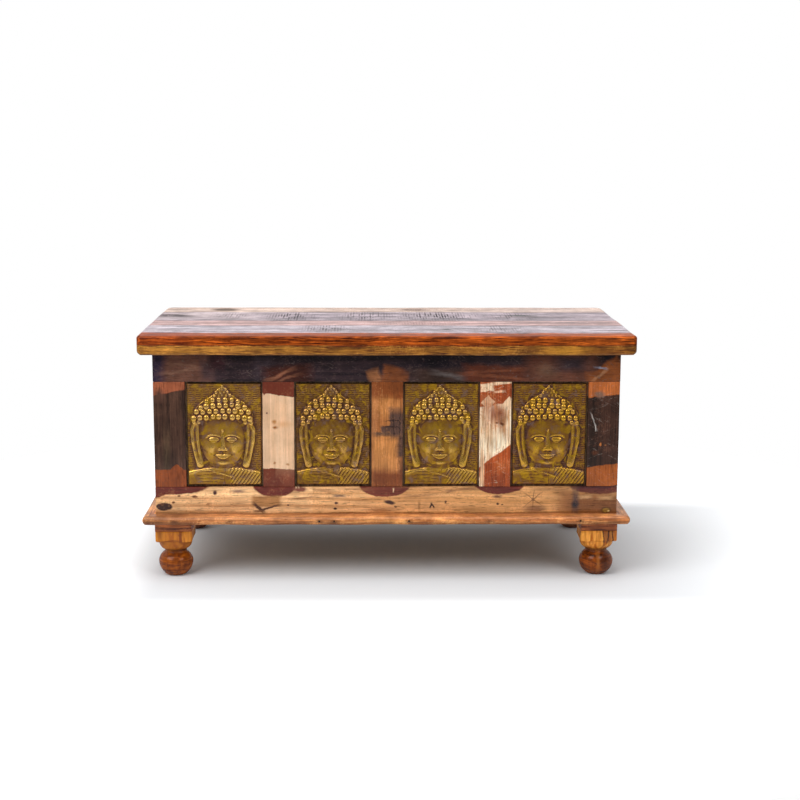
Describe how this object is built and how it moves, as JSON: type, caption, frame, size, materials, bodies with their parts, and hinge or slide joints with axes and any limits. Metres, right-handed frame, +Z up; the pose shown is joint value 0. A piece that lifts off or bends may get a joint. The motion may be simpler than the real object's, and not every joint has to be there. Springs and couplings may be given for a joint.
{
  "type": "accent chest",
  "caption": "Low storage chest of reclaimed boards with brass relief plates along the front, a hinged plank lid on two stays and turned ball feet.",
  "frame": {"origin": "centre of the overall box at floor level, under the middle of the chest", "axes": "+X along the chest's length towards its right end seen from the front, +Y from the front to the back, +Z up"},
  "size_m": [0.9, 0.453, 0.4553],
  "materials": {
    "lid_wood": "varnished reclaimed board, satin gloss",
    "lid_edge_wood": "varnished golden hardwood, satin gloss",
    "frame_wood": "reclaimed board with old paint under varnish",
    "panel_wood": "reclaimed board under varnish",
    "base_wood": "varnished orange-tan moulding",
    "foot_wood": "turned hardwood, varnished",
    "inner_wood": "plain sawn softwood, oiled",
    "relief_brass": "antiqued brass relief, patina in the hollows",
    "hinge_brass": "plain brushed brass, dulled",
    "screw_steel": "zinc-plated steel",
    "nail_steel": "dark iron nail"
  },
  "bodies": {
    "case": {"back_bottom_rail": "frame_wood", "back_panel_boards": "panel_wood", "back_stiles": "frame_wood", "back_top_rail": "frame_wood", "base_front_strip": "base_wood", "base_left_strip": "base_wood", "base_nails": "nail_steel", "base_right_strip": "base_wood", "brass_plate_1": "relief_brass", "brass_plate_2": "relief_brass", "brass_plate_3": "relief_brass", "brass_plate_4": "relief_brass", "corner_posts": "inner_wood", "floor_bearers": "inner_wood", "floor_boards": "inner_wood", "floor_ledgers": "inner_wood", "foot_back_left": "foot_wood", "foot_back_right": "foot_wood", "foot_front_left": "foot_wood", "foot_front_right": "foot_wood", "foot_hanger_bolts": "screw_steel", "foot_pads": "foot_wood", "front_backing_boards": "inner_wood", "front_bottom_rail": "frame_wood", "front_stile_1": "frame_wood", "front_stile_2": "frame_wood", "front_stile_3": "frame_wood", "front_stile_4": "frame_wood", "front_stile_5": "frame_wood", "front_top_rail": "frame_wood", "hinge_case_leaves": "hinge_brass", "hinge_case_screws": "screw_steel", "hinge_pins": "hinge_brass", "left_bottom_rail": "frame_wood", "left_panel_boards": "panel_wood", "left_stiles": "frame_wood", "left_top_rail": "frame_wood", "right_bottom_rail": "frame_wood", "right_panel_boards": "panel_wood", "right_stiles": "frame_wood", "right_top_rail": "frame_wood", "stay_case_screws": "screw_steel", "stay_stud_plates": "hinge_brass"},
    "lid": {"lid_board_1": "lid_wood", "lid_board_2": "lid_wood", "lid_board_3": "lid_wood", "lid_board_4": "lid_wood", "lid_board_5": "lid_wood", "lid_front_strip": "lid_edge_wood", "lid_back_strip": "lid_edge_wood", "lid_left_strip": "lid_edge_wood", "lid_right_strip": "lid_edge_wood", "lid_battens": "inner_wood", "hinge_lid_leaves": "hinge_brass", "hinge_lid_screws": "screw_steel", "stay_lid_brackets": "hinge_brass", "stay_lid_screws": "screw_steel"},
    "left_stay": {"stay_arm_left": "hinge_brass"},
    "right_stay": {"stay_arm_right": "hinge_brass"}
  },
  "joints": [
    {"name": "lid_hinge", "type": "hinge", "parent": "case", "child": "lid", "pos_m": [0, 0.2054, 0.4203], "axis": [-1, 0, 0], "range_deg": [0, 95]},
    {"name": "left_stay_pivot", "type": "hinge", "parent": "lid", "child": "left_stay", "pos_m": [-0.39875, 0.05592, 0.4078], "axis": [-1, 0, 0], "range_deg": [-47.5, 0]},
    {"name": "right_stay_pivot", "type": "hinge", "parent": "lid", "child": "right_stay", "pos_m": [0.39875, 0.05592, 0.4078], "axis": [-1, 0, 0], "range_deg": [-47.5, 0]}
  ],
  "couplings": [
    {"joint": "left_stay_pivot", "follows": "lid_hinge", "ratio": -0.5},
    {"joint": "right_stay_pivot", "follows": "lid_hinge", "ratio": -0.5}
  ]
}
